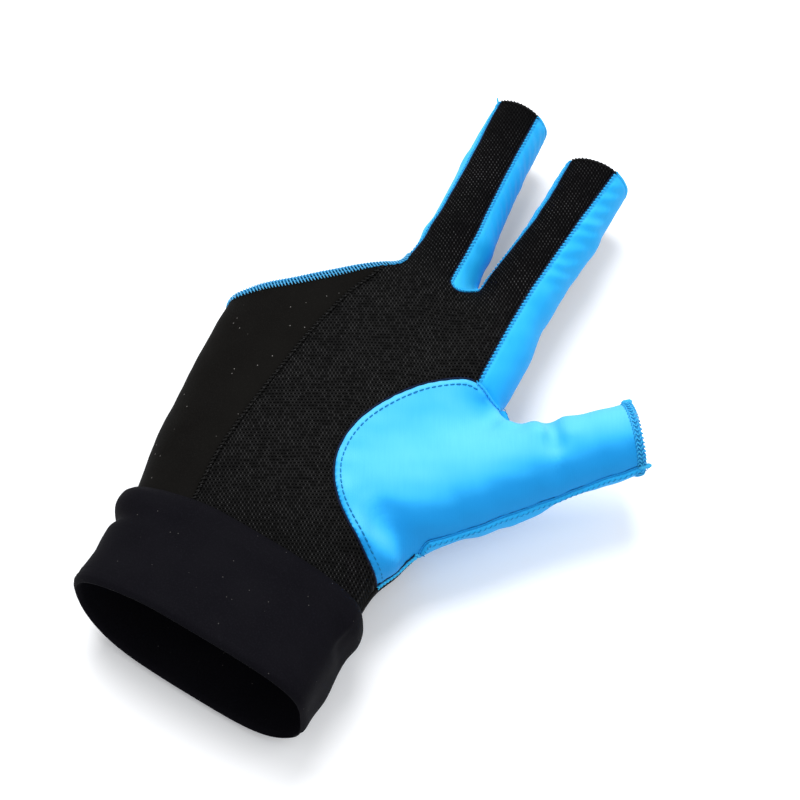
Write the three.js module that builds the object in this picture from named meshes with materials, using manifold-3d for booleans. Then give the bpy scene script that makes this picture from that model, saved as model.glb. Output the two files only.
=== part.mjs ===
// A billiard glove for the thumb, index and middle finger, shaped as it is worn.
// Millimetres. +Y runs along the hand to the fingertips, +X points to the thumb's side
// and +Z out of the palm. The origin is the middle of the cuff's mouth.
import * as THREE from "three";
import { mergeVertices } from "three/addons/utils/BufferGeometryUtils.js";
import Module from "manifold-3d";

const wasm = await Module();
wasm.setup();

// Driving sizes
const WALL = 1.4;
const SEAM_GAP = 0.3;
const FINEST_EDGE = 0.02;
const SHELL_START = 28;
const CUFF_LENGTH = 35.5;
const CUFF_SLANT = -0.1;
const ABOVE = 60;
const BELOW = -60;

// Wrist and palm: centre, half width, half thickness and squareness to each side
const PALM = [
  { y: -6, x: -1, z: 0, wide: 37, thick: 18, left: 2.7, right: 4 },
  { y: 12, x: -0.6, z: -0.3, wide: 36.6, thick: 17.5, left: 2.7, right: 4 },
  { y: 36, x: -1.6, z: -0.8, wide: 38, thick: 16.8, left: 2.5, right: 3 },
  { y: 62, x: -3.6, z: -1.5, wide: 40.6, thick: 16.5, left: 2.4, right: 2.3 },
  { y: 100, x: -1.8, z: -1, wide: 45.2, thick: 15, left: 2.3, right: 2.3 },
  { y: 130, x: -1.3, z: -1.5, wide: 44.7, thick: 12.5, left: 2.3, right: 2.3 },
  { y: 150, x: -1.3, z: -2, wide: 44.7, thick: 11, left: 2.3, right: 2.3 },
];
const PALM_START = 22;
const PALM_END = { x: 20, y: 141, slant: 0.08 };

// Sleeves: centres and radii from the palm outwards
const SLEEVES = {
  middle: [
    { x: 8.4, y: 125, z: -1, r: 11.6 },
    { x: 6.4, y: 160, z: -1, r: 10.9 },
    { x: 3.5, y: 190, z: -3, r: 10.1 },
    { x: 2.0, y: 230, z: -5, r: 9.6 },
  ],
  index: [
    { x: 30.8, y: 118, z: -1, r: 10.9 },
    { x: 31.9, y: 150, z: -1, r: 11.3 },
    { x: 34.0, y: 180, z: -2, r: 11.1 },
    { x: 34.7, y: 216, z: -3, r: 10.8 },
  ],
  thumb: [
    { x: 29, y: 62, z: -2, r: 14 },
    { x: 46, y: 82, z: 0, r: 14.3 },
    { x: 62.9, y: 98.1, z: 3, r: 12.2 },
    { x: 78.3, y: 111.7, z: 5, r: 10.9 },
    { x: 95.9, y: 128.1, z: 7, r: 10 },
  ],
};
const BLEND = { joint: 3, web: 4, finger: 7, thumb: 12, palmEnd: 12 };

// Folds: a ridge, or a dent where the height is below zero, along a line on the surface
const FOLDS = [
  { x: 20, y: 66, z: 14, toX: 30, toY: 57, toZ: 13, wide: 4, height: 0.9 },
  { x: 30, y: 57, z: 13, toX: 41, toY: 56, toZ: 6, wide: 4, height: 1.6 },
  { x: 34, y: 61, z: 12, toX: 44, toY: 61, toZ: 6, wide: 4, height: -1.5 },
  { x: 61, y: 109, z: 10, toX: 66, toY: 101, toZ: 15.5, wide: 3, height: -1.7 },
  { x: 57, y: 107, z: 9, toX: 60, toY: 103, toZ: 14, wide: 3, height: 0.9 },
  { x: 64.5, y: 111, z: 9, toX: 69, toY: 106, toZ: 14, wide: 3, height: 1.1 },
  { x: -18, y: 42, z: 15.5, toX: -10, toY: 53, toZ: 15.5, wide: 4, height: -1 },
  { x: 44, y: 188, z: 5, toX: 46, toY: 184, toZ: -5, wide: 4, height: -0.8 },
  { x: 44, y: 165, z: 5, toX: 46, toY: 161, toZ: -5, wide: 4, height: -0.8 },
  { x: 46, y: 107.5, z: 2, toX: 49, toY: 104.5, toZ: 9, wide: 4, height: 1.8 },
  { x: -2, y: 146, z: 4, toX: -5, toY: 158, toZ: 2, wide: 4, height: 0.8 },
];

// Cuff: how far its faces stand out from the wrist section, from the mouth to the top edge
const CUFF_OUTSIDE = [
  { along: 0, out: 1.7 },
  { along: 1, out: 2.6 },
  { along: 4, out: 2.8 },
  { along: 14, out: 2.4 },
  { along: 24.5, out: 2.3 },
  { along: 29.5, out: 2.9 },
  { along: 33.5, out: 2.9 },
  { along: CUFF_LENGTH, out: 1.8 },
];
const CUFF_INSIDE = [
  { along: CUFF_LENGTH, out: 1.0 },
  { along: 34, out: 0.6 },
  { along: 22, out: 0.5 },
  { along: 10, out: 0.5 },
  { along: 1, out: 0.5 },
  { along: 0, out: 1.0 },
];
const CUFF_SIDES = 54;

// Sag of the cuff's edges: on the little finger's side, and of the mouth on the far side
const CUFF_SAG = { fromX: -8, toX: -42, sideTop: 3.3, sideMouth: 1.5, farMouth: 4 };

// Rolls and notches of the cuff: angle round it from the thumb's side, and place along it
const CUFF_FOLDS = [
  { angle: 165, along: 30, spread: 30, long: 3, height: 1.3 },
  { angle: 168, along: 24.5, spread: 22, long: 2, height: -1.5 },
  { angle: 195, along: 17, spread: 25, long: 4, height: 0.8 },
  { angle: 4, along: 30, spread: 16, long: 3, height: 0.9 },
  { angle: 8, along: 22, spread: 14, long: 3, height: -0.9 },
  { angle: -18, along: 12, spread: 16, long: 5, height: 0.9 },
];

// Cut ends of the sleeves: the middle of each and its direction, degrees from +Y towards +X
const ENDS = [
  { x: 3.5, y: 213.8, angle: 4 },
  { x: 35.7, y: 202.4, angle: -2 },
  { x: 85.1, y: 117.6, angle: 51 },
];
const END_CUT = { wide: 34, deep: 60 };

// Open edge for the ring and little fingers, and the void beyond it
const FINGER_OPENING = [
  { x: -70, y: 93 },
  { x: -48, y: 107.5 },
  { x: -38, y: 114.5 },
  { x: -27.6, y: 121.3 },
  { x: -7.3, y: 138 },
  { x: -3.6, y: 143.5 },
  { x: -5.4, y: 149 },
  { x: -12, y: 156 },
  { x: -12, y: 250 },
  { x: -70, y: 250 },
];

// Seams seen in plan: the palm's long seam, the thumb patch, the thumb's far edge,
// the index strip and the end of the strip between the fingers
const PALM_SEAM = [
  { x: -17, y: 20 },
  { x: -20.3, y: 50 },
  { x: -20.1, y: 66 },
  { x: -17.3, y: 93.4 },
  { x: -13, y: 120 },
  { x: -8, y: 137 },
  { x: -3, y: 150 },
];
const PATCH_SEAM = [
  { x: 56, y: 110.3 },
  { x: 42.5, y: 110.3 },
  { x: 36, y: 112 },
  { x: 30, y: 110 },
  { x: 23, y: 103.8 },
  { x: 16.8, y: 95.5 },
  { x: 12, y: 86 },
  { x: 10.2, y: 76 },
  { x: 11.7, y: 66.5 },
  { x: 16.8, y: 58 },
  { x: 23.4, y: 52 },
  { x: 30.8, y: 46.9 },
  { x: 36.8, y: 43.5 },
  { x: 48, y: 38 },
];
const THUMB_FAR_SEAM = [
  { x: 56, y: 110.3 },
  { x: 38.5, y: 110.3 },
  { x: 35.5, y: 103 },
  { x: 34, y: 88 },
  { x: 34, y: 72 },
  { x: 38, y: 61 },
  { x: 52, y: 54 },
];
const INDEX_SEAM = [
  { x: 36, y: 112 },
  { x: 35.9, y: 138 },
  { x: 36.5, y: 152 },
  { x: 38.2, y: 174 },
  { x: 41.5, y: 212 },
];
const WEB_SEAM = [
  { x: 12.4, y: 140.4 },
  { x: 14.6, y: 139.4 },
  { x: 16.4, y: 139.6 },
  { x: 17.6, y: 141.4 },
  { x: 17.6, y: 150 },
];
const WEB_SEAM_LOW = 3.2;

// Seams that run level round the sides: height of the thumb's, and side view of the fingers'
const SIDE_SEAM_Z = 2.5;
const SIDE_SEAM_PLAN = [
  { x: 20, y: 10 },
  { x: 130, y: 10 },
  { x: 130, y: 150 },
  { x: 52, y: 150 },
  { x: 52, y: 110.3 },
  { x: 20, y: 110.3 },
];
const FINGER_FAR_SEAM = [
  { y: 110.3, z: -7 },
  { y: 150, z: -7 },
  { y: 240, z: -10.5 },
];

// Seams along the fingers: angle from straight up towards the thumb's side, place by place
const FINGER_SEAMS = [
  {
    sleeve: "middle",
    near: 4,
    far: 16,
    line: [
      { y: 139.8, angle: 26 },
      { y: 152, angle: 29 },
      { y: 186, angle: 31 },
      { y: 200, angle: 34 },
      { y: 230, angle: 40 },
    ],
  },
  {
    sleeve: "middle",
    near: 4,
    far: 16,
    line: [
      { y: 138, angle: -68 },
      { y: 146, angle: -60 },
      { y: 155, angle: -50 },
      { y: 165, angle: -46 },
      { y: 190, angle: -43 },
      { y: 205, angle: -49 },
      { y: 230, angle: -56 },
    ],
  },
  {
    sleeve: "index",
    near: 4,
    far: 14,
    line: [
      { y: 153, angle: -70 },
      { y: 158, angle: -60 },
      { y: 163, angle: -53 },
      { y: 180, angle: -45 },
      { y: 190, angle: -47 },
      { y: 230, angle: -64 },
    ],
  },
  {
    sleeve: "index",
    near: 4,
    far: 16.2,
    line: [
      { y: 137, angle: -70 },
      { y: 153.2, angle: -70 },
    ],
  },
];

// Panels: a spot on each, with its colour and finish
const PANELS = [
  { name: "mesh_panel", x: 0, y: 90, z: 14, color: 0x161616, roughness: 0.85 },
  { name: "stretch_wrap", x: -30, y: 70, z: 13, color: 0x1b1816, roughness: 0.7 },
  { name: "middle_outer_side", x: -5, y: 180, z: -3, color: 0x2f9fe8, roughness: 0.6 },
  { name: "finger_web_side", x: 14, y: 180, z: -3, color: 0x2b9fe6, roughness: 0.6 },
  { name: "index_outer_side", x: 45, y: 170, z: -1, color: 0x33b3ff, roughness: 0.6 },
  { name: "thumb_patch", x: 40, y: 80, z: 14, color: 0x38bff9, roughness: 0.6 },
  { name: "thumb_back", x: 60, y: 95, z: -9, color: 0x2a9fe0, roughness: 0.6 },
];

const mix = (a, b, t) => a + (b - a) * t;

function smoothMin(a, b, reach) {
  const h = Math.max(reach - Math.abs(a - b), 0) / reach;
  return Math.min(a, b) - (h * h * reach) / 4;
}

const smoothMax = (a, b, reach) => -smoothMin(-a, -b, reach);

// The palm's section at a place along the hand
function palmAt(y) {
  let i = 0;
  while (i < PALM.length - 2 && y > PALM[i + 1].y) i++;
  const low = PALM[i];
  const high = PALM[i + 1];
  const t = THREE.MathUtils.clamp((y - low.y) / (high.y - low.y), 0, 1);
  const eased = (t + THREE.MathUtils.smoothstep(t, 0, 1)) / 2;
  const section = {};
  for (const key in low) section[key] = mix(low[key], high[key], eased);
  return section;
}

function palmField(x, y, z) {
  const section = palmAt(y);
  const square = x < section.x ? section.left : section.right;
  const u = Math.abs(x - section.x) / section.wide;
  const w = Math.abs(z - section.z) / section.thick;
  const size = Math.max((u ** square + w ** square) ** (1 / square), 1e-6);
  const slopeU = (u / size) ** (square - 1) / section.wide;
  const slopeW = (w / size) ** (square - 1) / section.thick;
  const side = (size - 1) / Math.max(Math.hypot(slopeU, slopeW), 1 / section.wide);
  const end = y - PALM_END.y + PALM_END.slant * (x - PALM_END.x);
  return Math.max(smoothMax(side, end, BLEND.palmEnd), PALM_START - y);
}

// Distance to the line between two points, and the share of the way along it
function alongLine(x, y, z, a, b) {
  const [dx, dy, dz] = [b.x - a.x, b.y - a.y, b.z - a.z];
  const dot = (x - a.x) * dx + (y - a.y) * dy + (z - a.z) * dz;
  const share = THREE.MathUtils.clamp(dot / (dx * dx + dy * dy + dz * dz), 0, 1);
  const away = Math.hypot(x - a.x - dx * share, y - a.y - dy * share, z - a.z - dz * share);
  return { away, share };
}

function sleeveField(rows, x, y, z) {
  let nearest = 1000;
  for (let i = 0; i + 1 < rows.length; i++) {
    const { away, share } = alongLine(x, y, z, rows[i], rows[i + 1]);
    nearest = smoothMin(nearest, away - mix(rows[i].r, rows[i + 1].r, share), BLEND.joint);
  }
  return nearest;
}

function foldHeight(x, y, z) {
  let height = 0;
  for (const fold of FOLDS) {
    const end = { x: fold.toX, y: fold.toY, z: fold.toZ };
    const { away } = alongLine(x, y, z, fold, end);
    height += fold.height * Math.exp(-((away / fold.wide) ** 2));
  }
  return height;
}

// Distance to the glove's outer face, below zero inside
function gloveField(x, y, z) {
  const fingers = smoothMin(
    sleeveField(SLEEVES.middle, x, y, z),
    sleeveField(SLEEVES.index, x, y, z),
    BLEND.web,
  );
  const hand = smoothMin(palmField(x, y, z), fingers, BLEND.finger);
  const thumb = sleeveField(SLEEVES.thumb, x, y, z);
  return smoothMin(hand, thumb, BLEND.thumb) - foldHeight(x, y, z);
}

// Grid planes along X, Y and Z, closer together at the web between the fingers
const OUTER_GRID = [
  gridPlanes(-60, [{ to: 112, step: 4 }]),
  gridPlanes(8, [{ to: 130, step: 7 }, { to: 150, step: 4.2 }, { to: 244, step: 7.4 }]),
  gridPlanes(-30.5, [{ to: 29.5, step: 4 }]),
];
const INNER_GRID = [
  gridPlanes(-60, [{ to: 112, step: 5 }]),
  gridPlanes(6, [{ to: 130, step: 8.6 }, { to: 150, step: 4.6 }, { to: 244, step: 9 }]),
  gridPlanes(-31.5, [{ to: 28.5, step: 5 }]),
];
const CORNERS = [0, 1, 2, 3, 4, 5, 6, 7].map((c) => [c & 1, (c >> 1) & 1, c >> 2]);

function gridPlanes(start, spans) {
  const planes = [start];
  for (const { to, step } of spans) {
    const from = planes[planes.length - 1];
    const count = Math.round((to - from) / step);
    for (let i = 1; i <= count; i++) planes.push(mix(from, to, i / count));
  }
  return planes;
}

// Closed surface where the value is zero, with one vertex in each grid cell that it crosses
function netSurface(value, grid) {
  const count = grid.map((planes) => planes.length);
  const stride = [1, count[0], count[0] * count[1]];
  const indexOf = (cell) => cell[0] + stride[1] * cell[1] + stride[2] * cell[2];
  const values = new Float64Array(count[0] * count[1] * count[2]);
  eachCell(count, 0, 0, (cell) => {
    values[indexOf(cell)] = value(...cell.map((n, axis) => grid[axis][n]));
  });
  const vertexOf = new Map();
  const points = [];
  eachCell(count, 0, 1, (cell) => {
    const corners = CORNERS.map((step) => values[indexOf(cell.map((n, axis) => n + step[axis]))]);
    const inside = corners.filter((v) => v < 0).length;
    if (inside === 0 || inside === 8) return;
    const middle = crossingMean(corners);
    const size = cell.map((n, axis) => grid[axis][n + 1] - grid[axis][n]);
    const start = cell.map((n, axis) => grid[axis][n] + size[axis] * middle[axis]);
    vertexOf.set(indexOf(cell), points.length / 3);
    points.push(...ontoSurface(value, start, size));
  });
  const faces = [];
  eachCell(count, 1, 1, (cell) => {
    const here = indexOf(cell);
    const inside = values[here] < 0;
    for (let axis = 0; axis < 3; axis++) {
      if (inside === values[here + stride[axis]] < 0) continue;
      const s = stride[(axis + 1) % 3];
      const t = stride[(axis + 2) % 3];
      const quad = [here - s - t, here - t, here, here - s].map((index) => vertexOf.get(index));
      if (!inside) quad.reverse();
      faces.push(...splitQuad(points, quad));
    }
  });
  return { points, faces };
}

function eachCell(count, first, short, visit) {
  for (let k = first; k < count[2] - short; k++) {
    for (let j = first; j < count[1] - short; j++) {
      for (let i = first; i < count[0] - short; i++) visit([i, j, k]);
    }
  }
}

// Middle of the places where the surface crosses a cell's edges
function crossingMean(corners) {
  const sum = [0, 0, 0];
  let crossings = 0;
  for (let a = 0; a < 8; a++) {
    for (const bit of [1, 2, 4]) {
      const b = a | bit;
      if (b === a || corners[a] < 0 === corners[b] < 0) continue;
      const share = corners[a] / (corners[a] - corners[b]);
      for (let axis = 0; axis < 3; axis++) sum[axis] += mix(CORNERS[a][axis], CORNERS[b][axis], share);
      crossings++;
    }
  }
  return sum.map((total) => total / crossings);
}

// Moves a point onto the surface, without leaving its cell by much
function ontoSurface(value, start, size) {
  const point = [...start];
  const nudge = 0.05;
  for (let round = 0; round < 3; round++) {
    const here = value(...point);
    const slope = [0, 1, 2].map((axis) => {
      const next = [...point];
      next[axis] += nudge;
      return (value(...next) - here) / nudge;
    });
    const steep = Math.max(slope[0] ** 2 + slope[1] ** 2 + slope[2] ** 2, 0.25);
    for (let axis = 0; axis < 3; axis++) {
      const reach = size[axis] * 0.45;
      const moved = point[axis] - (here * slope[axis]) / steep;
      point[axis] = THREE.MathUtils.clamp(moved, start[axis] - reach, start[axis] + reach);
    }
  }
  return point;
}

// Two triangles on the quad's shorter diagonal
function splitQuad(points, [a, b, c, d]) {
  const apart = (p, q) => Math.hypot(...[0, 1, 2].map((axis) => points[3 * p + axis] - points[3 * q + axis]));
  return apart(a, c) < apart(b, d) ? [a, b, c, a, c, d] : [b, c, d, b, d, a];
}

function solidFromMesh({ points, faces }) {
  const mesh = new wasm.Mesh({
    numProp: 3,
    vertProperties: new Float32Array(points),
    triVerts: new Uint32Array(faces),
  });
  return new wasm.Manifold(mesh);
}

function solidFromGeometry(geometry) {
  geometry.deleteAttribute("normal");
  geometry.deleteAttribute("uv");
  const merged = mergeVertices(geometry, 1e-4);
  return solidFromMesh({ points: merged.attributes.position.array, faces: merged.index.array });
}

function geometryFromSolid(solid) {
  const mesh = solid.getMesh();
  const geometry = new THREE.BufferGeometry();
  geometry.setAttribute("position", new THREE.BufferAttribute(new Float32Array(mesh.vertProperties), 3));
  geometry.setIndex(new THREE.BufferAttribute(new Uint32Array(mesh.triVerts), 1));
  geometry.computeVertexNormals();
  return geometry;
}

// A prism on an outline in plan, between two heights
function planPrism(outline, low = BELOW, high = ABOVE) {
  const shape = new THREE.Shape(outline.map(({ x, y }) => new THREE.Vector2(x, y)));
  const geometry = new THREE.ExtrudeGeometry(shape, { depth: high - low, bevelEnabled: false });
  geometry.translate(0, 0, low);
  return solidFromGeometry(geometry);
}

// A prism across the hand on an outline in side view
function sidePrism(outline, fromX, toX) {
  const shape = new THREE.Shape(outline.map(({ y, z }) => new THREE.Vector2(y, z)));
  const geometry = new THREE.ExtrudeGeometry(shape, { depth: toX - fromX, bevelEnabled: false });
  const [across, along, up] = [[1, 0, 0], [0, 1, 0], [0, 0, 1]].map((v) => new THREE.Vector3(...v));
  geometry.applyMatrix4(new THREE.Matrix4().makeBasis(along, up, across));
  geometry.translate(fromX, 0, 0);
  return solidFromGeometry(geometry);
}

// Outline of a strip one seam gap wide along a line, with mitred turns
function seamOutline(line, first = "x", second = "y") {
  const points = line.map((p) => new THREE.Vector2(p[first], p[second]));
  const sides = [[], []];
  points.forEach((point, i) => {
    const before = points[Math.max(i - 1, 0)];
    const after = points[Math.min(i + 1, points.length - 1)];
    const here = after.clone().sub(before).normalize();
    const span = i > 0 ? point.clone().sub(before).normalize() : here;
    const normal = new THREE.Vector2(-here.y, here.x);
    const reach = SEAM_GAP / 2 / Math.max(here.dot(span), 0.5);
    sides[0].push(point.clone().addScaledVector(normal, reach));
    sides[1].unshift(point.clone().addScaledVector(normal, -reach));
  });
  return sides.flat().map((p) => ({ [first]: p.x, [second]: p.y }));
}

// A thin fin that leaves a sleeve's axis at the seam's angle and cuts its wall. Its two large faces are
// divided alike, so it stays as thin where it twists
function fingerSeam({ sleeve, near, far, line }) {
  const rows = SLEEVES[sleeve];
  const start = new THREE.Vector3().copy(rows[0]);
  const end = new THREE.Vector3().copy(rows[rows.length - 1]);
  const half = SEAM_GAP / 2;
  const section = [[near, -half], [near, half], [far, half], [far, -half]];
  const points = [];
  const faces = [];
  line.forEach(({ y, angle }, i) => {
    const centre = start.clone().lerp(end, (y - start.y) / (end.y - start.y));
    const turn = THREE.MathUtils.degToRad(angle);
    for (const [out, across] of section) {
      const x = centre.x + out * Math.sin(turn) + across * Math.cos(turn);
      points.push(x, centre.y, centre.z + out * Math.cos(turn) - across * Math.sin(turn));
    }
    if (i === 0) return;
    const [low, high] = [4 * (i - 1), 4 * i];
    for (let j = 0; j < 4; j++) {
      const k = (j + 1) % 4;
      if (j < 3) faces.push(low + k, low + j, high + j, low + k, high + j, high + k);
      else faces.push(low + k, low + j, high + k, low + j, high + j, high + k);
    }
  });
  const last = 4 * (line.length - 1);
  faces.push(0, 1, 2, 0, 2, 3, last, last + 3, last + 2, last, last + 2, last + 1);
  return solidFromMesh({ points, faces });
}

function endCut({ x, y, angle }) {
  const geometry = new THREE.BoxGeometry(END_CUT.wide, END_CUT.deep, ABOVE - BELOW);
  geometry.translate(0, END_CUT.deep / 2, 0);
  geometry.rotateZ(-THREE.MathUtils.degToRad(angle));
  geometry.translate(x, y, 0);
  return solidFromGeometry(geometry);
}

function wristCut() {
  const geometry = new THREE.BoxGeometry(200, 100, ABOVE - BELOW);
  geometry.translate(0, SHELL_START - 50, 0);
  return solidFromGeometry(geometry);
}

// The hollow glove without its cuff, in one piece
function gloveShell() {
  const outer = solidFromMesh(netSurface(gloveField, OUTER_GRID));
  const inner = solidFromMesh(netSurface((x, y, z) => gloveField(x, y, z) + WALL, INNER_GRID));
  const cuts = [inner, wristCut(), planPrism(FINGER_OPENING), ...ENDS.map(endCut)];
  return cuts.reduce((solid, cut) => solid.subtract(cut), outer);
}

function seamCuts() {
  const half = SEAM_GAP / 2;
  return [
    planPrism(seamOutline(PALM_SEAM), 0, ABOVE),
    planPrism(seamOutline(PATCH_SEAM), SIDE_SEAM_Z, ABOVE),
    planPrism(seamOutline(THUMB_FAR_SEAM), BELOW, SIDE_SEAM_Z),
    planPrism(seamOutline(INDEX_SEAM), SIDE_SEAM_Z, ABOVE),
    planPrism(seamOutline(WEB_SEAM), WEB_SEAM_LOW, ABOVE),
    planPrism(SIDE_SEAM_PLAN, SIDE_SEAM_Z - half, SIDE_SEAM_Z + half),
    sidePrism(seamOutline(FINGER_FAR_SEAM, "y", "z"), -14, 60),
    ...FINGER_SEAMS.map(fingerSeam),
  ];
}

function distanceToSpot(solid, spot) {
  const points = solid.getMesh().vertProperties;
  let nearest = Infinity;
  for (let i = 0; i < points.length; i += 3) {
    const away = Math.hypot(points[i] - spot.x, points[i + 1] - spot.y, points[i + 2] - spot.z);
    nearest = Math.min(nearest, away);
  }
  return nearest;
}

function meshFor(panel, geometry) {
  const material = new THREE.MeshStandardMaterial({
    color: panel.color,
    roughness: panel.roughness,
    metalness: 0,
  });
  const mesh = new THREE.Mesh(geometry, material);
  mesh.name = panel.name;
  return mesh;
}

// The shell parted along its seams, one mesh for each panel
function panelMeshes() {
  const parted = seamCuts().reduce((solid, cut) => solid.subtract(cut), gloveShell());
  const bodies = parted.simplify(FINEST_EDGE).decompose();
  if (bodies.length !== PANELS.length) throw new Error(`${bodies.length} panels`);
  return PANELS.map((panel) => {
    const away = bodies.map((body) => distanceToSpot(body, panel));
    const body = bodies[away.indexOf(Math.min(...away))];
    return meshFor(panel, geometryFromSolid(body));
  });
}

function cuffFold(angle, along) {
  let height = 0;
  for (const fold of CUFF_FOLDS) {
    const turn = THREE.MathUtils.euclideanModulo(angle - fold.angle + 180, 360) - 180;
    height += fold.height * Math.exp(-((turn / fold.spread) ** 2) - ((along - fold.along) / fold.long) ** 2);
  }
  return height;
}

function cuffSag(x, far, along) {
  const share = along / CUFF_LENGTH;
  const side = THREE.MathUtils.smoothstep(-x, -CUFF_SAG.fromX, -CUFF_SAG.toX);
  return side * mix(CUFF_SAG.sideMouth, CUFF_SAG.sideTop, share) + far ** 2 * (1 - share) * CUFF_SAG.farMouth;
}

// A point of the cuff: round the wrist's section, a distance out from it
function cuffPoint(angle, { along, out }) {
  const section = palmAt(along);
  const turn = THREE.MathUtils.degToRad(angle);
  const [c, s] = [Math.cos(turn), Math.sin(turn)];
  const power = 2 / (c < 0 ? section.left : section.right);
  const x = section.x + (section.wide + out) * Math.sign(c) * Math.abs(c) ** power;
  const z = section.z + (section.thick + out) * Math.sign(s) * Math.abs(s) ** power;
  return [x, along + CUFF_SLANT * x - cuffSag(x, Math.max(-s, 0), along), z];
}

function cuffGeometry() {
  const profile = [...CUFF_OUTSIDE, ...CUFF_INSIDE];
  const points = [];
  const faces = [];
  for (let i = 0; i < CUFF_SIDES; i++) {
    const angle = (360 * i) / CUFF_SIDES;
    profile.forEach((row, j) => {
      const fold = j < CUFF_OUTSIDE.length ? cuffFold(angle, row.along) : 0;
      points.push(...cuffPoint(angle, { along: row.along, out: row.out + fold }));
      const next = (j + 1) % profile.length;
      const [a, b] = [i, (i + 1) % CUFF_SIDES].map((side) => side * profile.length);
      faces.push(a + j, b + next, b + j, a + j, a + next, b + next);
    });
  }
  return geometryFromSolid(solidFromMesh({ points, faces }));
}

const glove = new THREE.Group();
glove.add(...panelMeshes());
glove.add(meshFor({ name: "cuff", color: 0x1d1c21, roughness: 0.65 }, cuffGeometry()));

export default glove;
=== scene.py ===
"""Looks of the billiard glove: knitted panels, seams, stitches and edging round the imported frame.

Lengths here are millimetres until a mesh is made. +Y runs along the hand, +X to the thumb's side.
"""

import math

import bpy
import numpy as np
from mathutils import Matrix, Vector


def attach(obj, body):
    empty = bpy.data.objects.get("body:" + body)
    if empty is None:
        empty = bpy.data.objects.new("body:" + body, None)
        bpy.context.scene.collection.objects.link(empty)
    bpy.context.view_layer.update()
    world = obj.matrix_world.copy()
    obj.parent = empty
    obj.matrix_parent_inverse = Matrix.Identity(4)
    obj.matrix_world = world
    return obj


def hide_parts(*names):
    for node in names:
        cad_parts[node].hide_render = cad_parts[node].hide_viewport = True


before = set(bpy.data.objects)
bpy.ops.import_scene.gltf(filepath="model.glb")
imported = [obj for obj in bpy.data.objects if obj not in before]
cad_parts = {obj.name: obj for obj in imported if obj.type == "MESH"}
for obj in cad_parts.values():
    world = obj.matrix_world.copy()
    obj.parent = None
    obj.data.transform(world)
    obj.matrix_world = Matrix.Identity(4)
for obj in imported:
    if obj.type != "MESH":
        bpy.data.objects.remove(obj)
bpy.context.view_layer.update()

# Shared sizes
MM = 0.001
GRID = 1.0
CLOTH = 1.1
SHELL_START = 28.0
NET_LOW = (-60, 18, -32)
NET_HIGH = (112, 246, 32)
SEWN_RUN = 8
THREAD_SIDES = 6
THREAD_TAPER = 0.5

# Wrist and palm: y, centre x and z, half width, half thickness, squareness left and right
PALM = np.array([
    (-6, -1, 0, 37, 18, 2.7, 4),
    (12, -0.6, -0.3, 36.6, 17.5, 2.7, 4),
    (36, -1.6, -0.8, 38, 16.8, 2.5, 3),
    (62, -3.6, -1.5, 40.6, 16.5, 2.4, 2.3),
    (100, -1.8, -1, 45.2, 15, 2.3, 2.3),
    (130, -1.3, -1.5, 44.7, 12.5, 2.3, 2.3),
    (150, -1.3, -2, 44.7, 11, 2.3, 2.3),
], dtype=float)
PALM_START = 22.0
PALM_END = {"x": 20.0, "y": 141.0, "slant": 0.08}

# Sleeves: x, y, z and radius from the palm outwards
SLEEVES = {
    "middle": [(8.4, 125, -1, 11.6), (6.4, 160, -1, 10.9), (3.5, 190, -3, 10.1), (2.0, 230, -5, 9.6)],
    "index": [(30.8, 118, -1, 10.9), (31.9, 150, -1, 11.3), (34.0, 180, -2, 11.1), (34.7, 216, -3, 10.8)],
    "thumb": [
        (29, 62, -2, 14), (46, 82, 0, 14.3), (62.9, 98.1, 3, 12.2), (78.3, 111.7, 5, 10.9),
        (95.9, 128.1, 7, 10),
    ],
}
BLEND = {"joint": 1.2, "web": 4, "finger": 7, "thumb": 12, "palm_end": 12}

# Folds: start, end, width and height of a ridge, or of a dent where the height is below zero
FOLDS = [
    ((15.5, 68, 14.5), (19, 59.5, 14.3), 4, 0.6),
    ((19, 59.5, 14.3), (28, 50, 12.5), 4, 1.2),
    ((28, 50, 12.5), (41, 49, 4), 4, 1.4),
    ((24, 60.5, 13.5), (32, 56.5, 12), 6.5, -1.1),
    ((32, 56.5, 12), (43, 56, 5.5), 6, -2.1),
    ((66, 101, 15.5), (73, 89, 11), 3, -0.5),
    ((70, 101, 15), (77, 90, 11), 3.5, 0.35),
    ((61, 109, 10), (66, 101, 15.5), 3, -1.7),
    ((57, 107, 9), (60, 103, 14), 3, 0.9),
    ((64.5, 111, 9), (69, 106, 14), 3, 1.1),
    ((-18, 42, 15.5), (-10, 53, 15.5), 4, -1),
    ((44, 188, 5), (46, 184, -5), 4, -0.3),
    ((44, 165, 5), (46, 161, -5), 4, -0.3),
    ((46, 107.5, 2), (49, 104.5, 9), 4, 1.8),
    ((-2, 146, 4), (-5, 158, 2), 4, 0.8),
    ((42, 58.5, -8.4), (50, 67.5, -7.6), 6, -1.7),
    ((62.5, 82, -5), (67, 87, -4), 4, 1.2),
    ((73, 93, -2.5), (76.5, 96.5, -2), 3.5, -0.6),
]

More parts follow.
